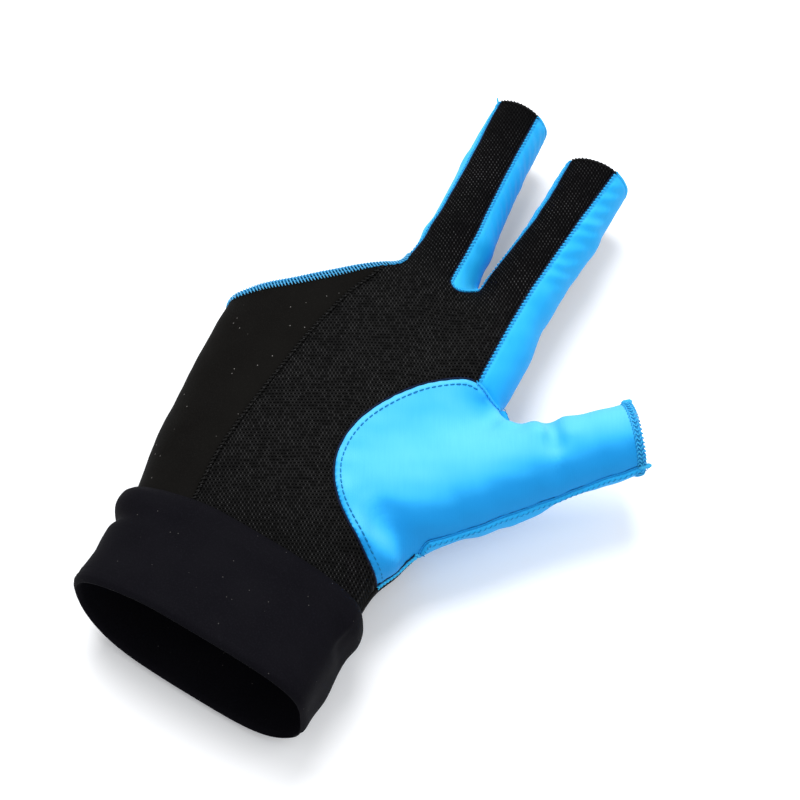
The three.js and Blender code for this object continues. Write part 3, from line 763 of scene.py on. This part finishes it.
def cloth_lift(name, points, inside, margin):
    """How far the cloth stands out from the plain form: soft waves, and edges that turn in at the seams."""
    turned = TURNED_EDGE["depth"] * np.exp(-((margin / TURNED_EDGE["wide"]) ** 2))
    fade = np.exp(-inside / GATHERS["fade"])
    gathers = GATHERS["height"] * fade * ripple(points, GATHERS["seed"], GATHERS["scale"])
    lift = cloth_waves(points) - turned + gathers
    if name == "index_outer_side":
        y = points[:, 1]
        near = smooth_step((INDEX_CREASES["near_angle"] - sleeve_angle("index", points)) / 22)
        near = near * smooth_step((INDEX_CREASES["to_y"] - y) / 8)
        lift = lift + near * creases(points, INDEX_CREASES, 0.7 * ripple(points, 11, 18.0))
    if name == "finger_web_side":
        lift = lift + creases(points, WEB_CREASES, 0.0)
    return lift


def creases(points, kind, drift):
    """Slanted creases across a strip, which fade in along the finger."""
    _, y, z = points.T
    phase = 2 * math.pi * (y + kind["slant"] * z) / kind["pitch"] + drift
    return kind["height"] * np.sin(phase) * smooth_step((y - kind["from_y"]) / 14)


def cloth_waves(points):
    return sum(wave["height"] * ripple(points, wave["seed"], wave["scale"]) for wave in CLOTH_WAVES)


def smooth_line(points, pitch, rounds=6):
    """The line evened out and divided at equal steps."""
    for _ in range(rounds):
        points = np.concatenate([points[:1], (points[:-2] + 2 * points[1:-1] + points[2:]) / 4, points[-1:]])
    steps = np.concatenate([[0], np.cumsum(np.linalg.norm(np.diff(points, axis=0), axis=1))])
    places = np.arange(0, steps[-1], pitch)
    return np.stack([np.interp(places, steps, points[:, i]) for i in range(3)], 1)


def line_frames(points):
    """Direction, inward direction and outward normal at each point of a panel's edge."""
    along = unit(np.gradient(points, axis=0))
    up = normals_at(points)
    return along, unit(np.cross(up, along)), up


def threads(shape, pitch, radius, fade=None):
    """What lays short threads along an edge. The shape's rows are places along, inward and up."""
    rows = np.array(shape, float)

    def lay(path):
        points = smooth_line(path, pitch)
        if len(points) < 3:
            return np.zeros((0, len(rows), 3)), radius
        along, side, up = line_frames(points)
        width = np.ones(len(points)) if fade is None else fade(points)
        points = points + up * cloth_waves(points)[:, None]
        lines = (points[:, None] + along[:, None] * rows[:, :1] + up[:, None] * rows[:, 2:]
                 + side[:, None] * rows[:, 1:2] * width[:, None, None])
        return lines, radius

    return lay


def cord(inward, up, radius, pitch=0.7, wave=0.0, wave_length=1.0):
    """What lays one unbroken thread beside an edge."""
    def lay(path):
        points = smooth_line(path, pitch)
        _, side, outward = line_frames(points)
        sway = wave * np.sin(np.arange(len(points)) * pitch * 2 * math.pi / wave_length)
        points = points + outward * cloth_waves(points)[:, None]
        line = points + side * (inward + sway[:, None]) + outward * up
        return line[None], radius

    return lay


def curve_of(corners, count):
    """A smooth curve with a set number of points through a few corners."""
    line = spline(corners, 0.01)
    return line[np.linspace(0, len(line) - 1, count).astype(int)]


def tubes(lines, radius):
    """Points and quads of threads, from an array of middle lines."""
    count, length, _ = lines.shape
    along = unit(np.gradient(lines, axis=1))
    side = np.cross(along, [0.31, 0.57, 0.76])
    weak = np.linalg.norm(side, axis=2, keepdims=True) < 0.3
    side = unit(np.where(weak, np.cross(along, [0.9, -0.3, 0.2]), side))
    over = np.cross(side, along)
    turn = 2 * math.pi * np.arange(THREAD_SIDES) / THREAD_SIDES
    size = np.ones(length)
    size[0] = size[-1] = THREAD_TAPER
    ring = side[:, :, None] * np.cos(turn)[:, None] + over[:, :, None] * np.sin(turn)[:, None]
    points = lines[:, :, None] + ring * (radius * size)[:, None, None]
    number = np.arange(count * length * THREAD_SIDES).reshape(count, length, THREAD_SIDES)
    a, b = number[:, :-1], number[:, 1:]
    quads = [np.stack([a, b, np.roll(b, -1, 2), np.roll(a, -1, 2)], -1).reshape(-1, 4)]
    for end, order in ((number[:, 0], (0, 1, 2, 3)), (number[:, -1], (3, 2, 1, 0))):
        for first in (0, THREAD_SIDES // 2):
            quads.append(end[:, [(first + k) % THREAD_SIDES for k in order]])
    return points.reshape(-1, 3), np.concatenate(quads)


def thread_object(name, thread, batches):
    """One joined mesh of threads, from pairs of middle lines and radius."""
    points, faces, total = [], [], 0
    for lines, radius in batches:
        some, quads = tubes(lines, radius)
        points.append(some)
        faces.append(quads + total)
        total += len(some)
    item = new_object(name, np.concatenate(points), np.concatenate(faces), MATERIALS[thread])
    hand_in(item, "black_mesh" if thread in DARK_THREADS else "blue_stretch")


def runs_of(panels, edge):
    """The stretches of the panels' edges that make up one kind of edge."""
    owners, labels = EDGES[edge]
    return [run for owner in owners for label in labels for run in panels[owner].runs.get(label, [])]


# One stitch or loop of each kind: places along the edge, in from it and up from the cloth
OVERLOCK = curve_of([
    (-0.9, 2.7, 0.22), (-0.55, 1.8, 0.5), (-0.2, 0.6, 0.6), (0.05, -0.35, 0.3), (0.1, -0.6, -0.5),
    (0.0, -0.1, -1.3), (-0.1, 0.7, -1.7),
], 12)
SCALLOP = curve_of([(-0.45, 0.8, 0.0), (-0.25, 0.3, 0.26), (0.0, 0.0, 0.28), (0.3, -0.16, 0.0)], 7)
DASH = curve_of([
    (-0.75, 1.75, -0.12), (-0.45, 1.77, 0.1), (0.0, 1.8, 0.2), (0.45, 1.83, 0.1), (0.75, 1.85, -0.12),
], 7)
PATCH_ZIGZAG = curve_of([(-0.5, 0.6, 0.0), (0.0, 0.3, 0.16), (0.5, -0.1, 0.16), (0.9, -0.45, 0.0)], 6)
FLAP_ZIGZAG = curve_of([(-0.5, 1.25, 0.1), (0.3, 0.7, 0.42), (-0.3, 0.1, 0.45), (0.2, -0.5, 0.2)], 9)
PALM_LOOP = curve_of([(-0.45, 0.65, -0.1), (-0.2, 0.25, 0.16), (0.2, -0.25, 0.16), (0.45, -0.65, -0.1)], 7)
PALM_SPECK = PALM_LOOP[2:5] + (0.6, 0.2, 0.1)
RIB_TICK = [(-0.6, 0.45, 0.86), (0.0, 1.1, 1.0), (0.5, 1.8, 0.55)]
HEM_ZIGZAG = curve_of([
    (-0.7, 2.4, 0.0), (0.45, 1.9, 0.3), (-0.45, 1.2, 0.4), (0.45, 0.6, 0.42), (-0.2, -0.1, 0.25),
    (0.0, -0.3, -1.2),
], 18)
END_LOOP = curve_of([(-0.4, 1.0, 0.0), (0.0, 0.4, 0.2), (0.2, 0.0, 0.15), (0.3, -0.15, -0.4)], 7)

# Loose tail of thread at the middle sleeve's end, in place
THREAD_TAIL = curve_of([(-5.0, 212.3, 2.0), (-5.4, 213.4, 2.6), (-6.0, 214.2, 2.7), (-6.2, 214.9, 2.4)], 8)


def overlock_width(points):
    """Share of the full width: all at the little finger's side, less by the middle finger."""
    return 0.55 + 0.45 * smooth_step((-4 - points[:, 0]) / 22)


# Kinds of edge: the panels that have it, and what it meets
STRIPS = ["middle_outer_side", "finger_web_side", "index_outer_side"]
EDGES = {
    "opening": (["mesh_panel", "stretch_wrap", "middle_outer_side"], ["opening"]),
    "patch_foot": (["thumb_patch"], ["stretch_wrap"]),
    "patch_rim": (["thumb_patch"], ["mesh_panel"]),
    "patch_top": (["thumb_patch"], ["index_outer_side"]),
    "strip": (STRIPS, ["mesh_panel"]),
    "palm": (["mesh_panel"], ["stretch_wrap"]),
    "thumb_side": (["thumb_back"], ["thumb_patch"]),
    "thumb_end": (["thumb_patch", "thumb_back"], ["thumb_end"]),
    "mesh_end": (["mesh_panel"], ["middle_end", "index_end"]),
    "strip_end": (STRIPS, ["middle_end", "index_end"]),
}
TOP_OF_PICTURE = (-0.39, 0.77, 0.5)
DARK_THREADS = ("navy_thread_and_seam_shadow", "black_thread", "grey_thread")
SEAMS = [
    # Blue overlock over a cord that fills the open edge
    ("open_edge_overlock", "blue_thread", "opening",
     threads(OVERLOCK, pitch=0.98, radius=0.21, fade=overlock_width)),
    ("open_edge_core", "hem_thread", "opening", cord(inward=-0.25, up=-0.4, radius=0.5),
     cord(inward=1.2, up=0.05, radius=0.22, pitch=0.6, wave=0.25, wave_length=2.3)),

    # The doubled edge at the patch's foot
    ("flap_line", "navy_thread_and_seam_shadow", "patch_foot",
     cord(inward=1.7, up=0.02, radius=0.24, pitch=0.35, wave=0.2, wave_length=2.6)),
    ("flap_roll", "blue_rib_cloth", "patch_foot", cord(inward=0.5, up=-0.15, radius=0.75)),
    ("flap_zigzag", "patch_rim_cloth", "patch_foot", threads(FLAP_ZIGZAG, pitch=1.2, radius=0.2)),
    ("flap_under", "black_thread", "patch_foot", cord(inward=-0.55, up=-0.5, radius=0.55)),

    # Stitches inside the patch's rim, a sunk navy cord of painted shadow along the rim's seam, and the zigzag
    # by the index strip
    ("patch_stitches", "deep_blue_thread", "patch_rim", threads(DASH, pitch=2.05, radius=0.2)),
    ("patch_shade", "navy_thread_and_seam_shadow", "patch_rim", cord(inward=-0.25, up=-0.4, radius=0.34)),
    ("patch_zigzag", "strip_thread", "patch_top", threads(PATCH_ZIGZAG, pitch=1.3, radius=0.13),
     cord(inward=-0.15, up=-0.25, radius=0.42)),

    # Scalloped light loops where the blue strips meet the mesh, over a sunk dark cord of painted shadow in
    # the seam's groove
    ("strip_loops", "strip_thread", "strip", threads(SCALLOP, pitch=1.3, radius=0.22)),
    ("strip_seam_shadow_cord", "navy_thread_and_seam_shadow", "strip", cord(inward=-0.3, up=-0.3, radius=0.3)),

    # Dark loops with a few pale specks along the long seam between mesh and wrap
    ("palm_seam_loops", "black_thread", "palm", threads(PALM_LOOP, pitch=1.4, radius=0.3),
     cord(inward=0.0, up=-0.3, radius=0.35)),
    ("palm_seam_specks", "grey_thread", "palm", threads(PALM_SPECK, pitch=2.3, radius=0.11)),

    # The rolled rib under the thumb, with a thin line above it and slanted stitches on it
    ("thumb_rib", "blue_rib_cloth", "thumb_side", cord(inward=1.0, up=0.05, radius=0.95)),
    ("thumb_rib_line", "rib_line_thread", "thumb_side", cord(inward=-0.1, up=-0.15, radius=0.25)),
    ("thumb_rib_ticks", "rib_tick_thread", "thumb_side", threads(RIB_TICK, pitch=1.7, radius=0.14)),

    # The overlocked hem round the thumb's end
    ("thumb_hem", "hem_loop_thread", "thumb_end", threads(HEM_ZIGZAG, pitch=1.35, radius=0.2)),
    ("thumb_hem_line", "hem_thread", "thumb_end",
     cord(inward=2.3, up=-0.1, radius=0.2, pitch=0.3, wave=0.25, wave_length=1.35),
     cord(inward=1.1, up=-0.15, radius=0.5)),

    # Small loops over the cut ends of the finger sleeves
    ("end_loops", "black_thread", "mesh_end", threads(END_LOOP, pitch=1.3, radius=0.24),
     cord(inward=0.1, up=-0.55, radius=0.55)),
]


def sew(panels):
    """All that is sewn along the edges. The palm's seam is the longest run alone."""
    for name, thread, edge, *lays in SEAMS:
        runs = runs_of(panels, edge)[:1 if edge == "palm" else None]
        thread_object(name, thread, [lay(run) for run in runs for lay in lays])


def fold_hem_corners(panels):
    """Short folded corners of the hem, at the side seam and at the top of the end."""
    turn = math.radians(ENDS["thumb_end"]["turn"])
    outward = np.array([math.sin(turn), math.cos(turn), 0])
    tabs = []
    for edge, direction, reach in (("thumb_side", outward, 1.7), ("thumb_end", TOP_OF_PICTURE, 1.0)):
        points = np.concatenate(runs_of(panels, edge))
        corner = points[np.argmax(points @ direction)]
        steps = np.linspace(-2.2, reach, 6)[:, None]
        tabs.append(((corner + outward * steps + normals_at(corner[None]) * 0.3)[None], 0.8))
    thread_object("thumb_hem_tabs", "hem_loop_thread", tabs)


def roll_ends(panels):
    """Rolled ends of the blue strips, and a loose tail of thread."""
    roll = cord(inward=-0.1, up=-0.5, radius=0.6)
    rolls = [roll(run) for run in runs_of(panels, "strip_end")]
    thread_object("end_rolls", "strip_thread", rolls + [(THREAD_TAIL[None], 0.3)])


# Cuff: how far its faces stand out from the wrist section, from the mouth to the top edge
CUFF_LENGTH = 35.5
CUFF_SLANT = -0.1
CUFF_OUTSIDE = [
    (0, 1.7), (1, 2.6), (4, 2.8), (14, 2.4), (24.5, 2.3), (29.5, 2.9), (33.5, 2.9), (CUFF_LENGTH, 1.8),
]
CUFF_INSIDE = [(CUFF_LENGTH, 1.0), (34, 0.6), (22, 0.5), (10, 0.5), (1, 0.5), (0, 1.0)]
CUFF_ROUND = 420
CUFF_WEAVE_STEP = 0.55
CUFF_HEM = {"angle": 172, "spread": 34, "to": 6.5, "fade": 2, "height": 0.12, "pitch": 1.15}

# Sag of the cuff's edges: on the little finger's side, and of the mouth on the far side
CUFF_SAG = {"from_x": -8.0, "to_x": -42.0, "side_top": 3.3, "side_mouth": 1.5, "far_mouth": 4.0}

# Rolls and notches of the cuff: angle round it from the thumb's side, place along it, spreads and height
CUFF_FOLDS = [
    (165, 30, 30, 3, 0.5),
    (168, 24.5, 22, 2, -1.5),
    (195, 17, 25, 4, 0.8),
    (4, 30, 16, 3, 0.9),
    (8, 22, 14, 3, -0.9),
    (-18, 12, 16, 5, 0.6),
    (-25, 3, 30, 9, -1.3),
    (-32, 18, 5, 12, 1.0),
    (-22, 9, 4, 8, -0.9),
    (20, 26, 5, 6, 0.5),
]


def cuff_profile():
    """Rows round the cuff's wall: place along, distance out and 1 on the outer face."""
    outside = spline(CUFF_OUTSIDE, 0.45)
    inside = spline(CUFF_INSIDE, 1.2)
    top = [(CUFF_LENGTH + 0.25, 1.65), (CUFF_LENGTH + 0.25, 1.2)]
    mouth = [(-0.25, 1.2), (-0.25, 1.5)]
    rows = np.concatenate([outside, top, inside, mouth])
    outer = np.concatenate([np.ones(len(outside)), [1, 0.5], np.zeros(len(inside)), [0.5, 1]])
    return rows, outer


def cuff_surface():
    rows, outer = cuff_profile()
    angle = np.arange(CUFF_ROUND)[:, None] * 360.0 / CUFF_ROUND
    along, out = rows[None, :, 0], rows[None, :, 1]
    fold = 0
    for at, place, spread, long, height in CUFF_FOLDS:
        turn = (angle - at + 180) % 360 - 180
        fold = fold + height * np.exp(-((turn / spread) ** 2) - ((along - place) / long) ** 2)
    turn = (angle - CUFF_HEM["angle"] + 180) % 360 - 180
    near_mouth = smooth_step((CUFF_HEM["to"] - along) / CUFF_HEM["fade"])
    hem = CUFF_HEM["height"] * np.exp(-((turn / CUFF_HEM["spread"]) ** 2)) * near_mouth
    hem = hem * np.sin(2 * math.pi * along / CUFF_HEM["pitch"])
    out = out + outer * (fold + hem)
    along = np.broadcast_to(along, out.shape)
    x, z, wide, thick, left, right = palm_at(along)
    c, s = np.cos(np.radians(angle)), np.sin(np.radians(angle))
    power = 2 / np.where(c < 0, left, right)
    px = x + (wide + out) * np.sign(c) * np.abs(c) ** power
    pz = z + (thick + out) * np.sign(s) * np.abs(s) ** power
    share = along / CUFF_LENGTH
    side = smooth_step((-px + CUFF_SAG["from_x"]) / (CUFF_SAG["from_x"] - CUFF_SAG["to_x"]))
    sag = side * (CUFF_SAG["side_mouth"] + (CUFF_SAG["side_top"] - CUFF_SAG["side_mouth"]) * share)
    sag = sag + np.maximum(-s, 0) ** 2 * (1 - share) * CUFF_SAG["far_mouth"]
    return np.stack([px, along + CUFF_SLANT * px - sag, pz], -1)


def cuff_piece():
    points = cuff_surface()
    number = np.arange(points.shape[0] * points.shape[1]).reshape(points.shape[:2])
    across = np.roll(number, -1, 0)
    faces = np.stack([number, np.roll(number, -1, 1), np.roll(across, -1, 1), across], -1).reshape(-1, 4)
    across_weave = np.arange(CUFF_ROUND)[:, None] * CUFF_WEAVE_STEP
    uv = np.stack([np.broadcast_to(across_weave, number.shape), points[..., 1]], -1)
    item = new_object("cuff_cloth", points.reshape(-1, 3), faces, MATERIALS["cuff"], uv.reshape(-1, 2))
    hand_in(item, "black_cuff", "cuff")


# Studio, in metres
GLOVE_MIDDLE = (0.02, 0.1, 0.0)
LIGHTS = {
    "key": {"place": (-0.3, 0.47, 1.05), "size": 0.75, "power": 12.0},
    "fill": {"place": (0.6, 0.1, 0.8), "size": 0.8, "power": 2.6},
}
SKY = 0.66
FLOOR = {"z": -0.0225, "reach": 1.6, "colour": (0.92, 0.93, 0.95, 1)}
FLOOR_GLOW = {"colour": (0.95, 0.97, 1.0, 1), "strength": 0.14}
CAMERA = {"azimuth": 26.6, "elevation": 60.0, "distance": 0.7, "target": (0.019, 0.094, 0.014), "lens": 107.1}


def point_at(item, place, target):
    direction = Vector(target) - Vector(place)
    item.location = place
    item.rotation_euler = direction.to_track_quat("-Z", "Y").to_euler()


def soft_light(name, place, size, power):
    light = bpy.data.lights.new(name, "AREA")
    light.shape = "DISK"
    light.size = size
    light.energy = power
    point_at(linked(name, light), place, GLOVE_MIDDLE)


def camera():
    """Camera round its target: azimuth 0 looks along +Y."""
    a, e = math.radians(CAMERA["azimuth"]), math.radians(CAMERA["elevation"])
    back = Vector((math.sin(a) * math.cos(e), -math.cos(a) * math.cos(e), math.sin(e)))
    data = bpy.data.cameras.new("camera")
    data.sensor_width = 36.0
    data.lens = CAMERA["lens"]
    data.clip_start = 0.01
    item = linked("camera", data)
    point_at(item, Vector(CAMERA["target"]) + back * CAMERA["distance"], CAMERA["target"])
    bpy.context.scene.camera = item


def floor():
    reach = FLOOR["reach"]
    corners = [(x * reach, y * reach, FLOOR["z"]) for x, y in ((-1, -1), (1, -1), (1, 1), (-1, 1))]
    mesh = bpy.data.meshes.new("floor")
    mesh.from_pydata(corners, [], [(0, 1, 2, 3)])
    fabric = Fabric("floor", 0.9)
    fabric.shader.inputs["Base Color"].default_value = FLOOR["colour"]
    fabric.shader.inputs["Emission Color"].default_value = FLOOR_GLOW["colour"]
    fabric.shader.inputs["Emission Strength"].default_value = FLOOR_GLOW["strength"]
    mesh.materials.append(fabric.material)
    linked("floor", mesh)


def studio():
    floor()
    world = bpy.data.worlds.new("studio")
    bpy.context.scene.world = world
    world.use_nodes = True
    sky = world.node_tree.nodes["Background"]
    sky.inputs["Color"].default_value = (1.0, 1.0, 1.0, 1)
    sky.inputs["Strength"].default_value = SKY
    for name, light in LIGHTS.items():
        soft_light(name, **light)
    bpy.context.scene.view_settings.view_transform = "Standard"
    camera()


def main():
    points, quads = surface_net(NET_LOW, NET_HIGH)
    faces = np.concatenate([quads[:, [0, 1, 2]], quads[:, [0, 2, 3]]])
    points = onto_surface(points)
    points, faces = clip(points, faces, np.minimum.reduce(list(cut_fields(points).values())))
    fields = panel_fields(points)
    panels = {name: Panel(name, points, faces, fields[name]) for name in PANEL_LOOKS}
    for panel in panels.values():
        panel.build()
    sew(panels)
    fold_hem_corners(panels)
    roll_ends(panels)
    cuff_piece()
    studio()


main()
